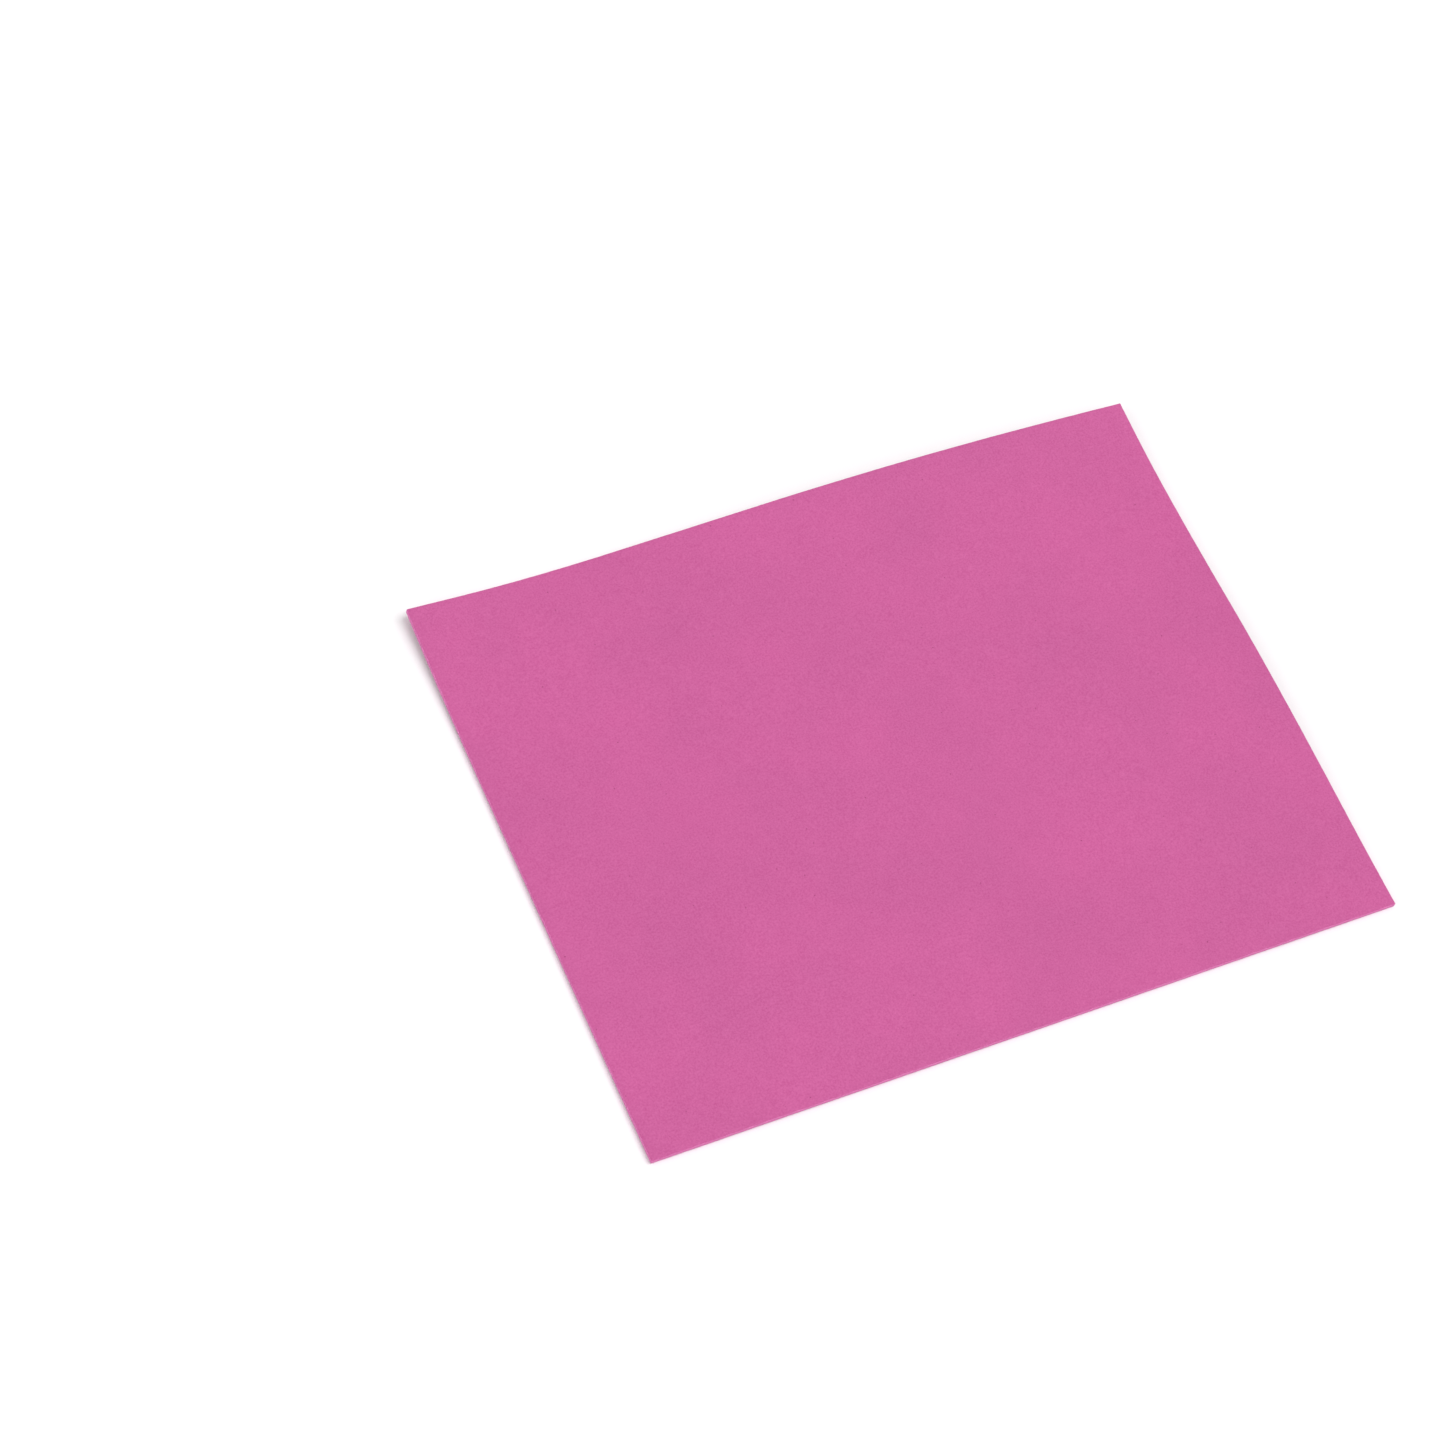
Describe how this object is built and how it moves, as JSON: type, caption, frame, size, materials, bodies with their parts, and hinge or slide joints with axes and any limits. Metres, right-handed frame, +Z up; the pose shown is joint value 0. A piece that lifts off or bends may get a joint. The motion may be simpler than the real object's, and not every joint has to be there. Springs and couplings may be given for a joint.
{
  "type": "craft foam sheet",
  "caption": "Thin rectangular sheet of pink closed-cell craft foam, die-cut with crisp edges, lying flat with one corner slightly curled and a low wave along two of its edges.",
  "frame": {"origin": "on the table, under the middle of the sheet", "axes": "+X along the long sides, +Y along the short sides, +Z up through the thickness"},
  "size_m": [0.2795, 0.2159, 0.0089],
  "materials": {
    "foam": "matte closed-cell foam, pink, with a fine dry grain"
  },
  "bodies": {
    "root": {"foam_sheet": "foam"}
  },
  "joints": []
}
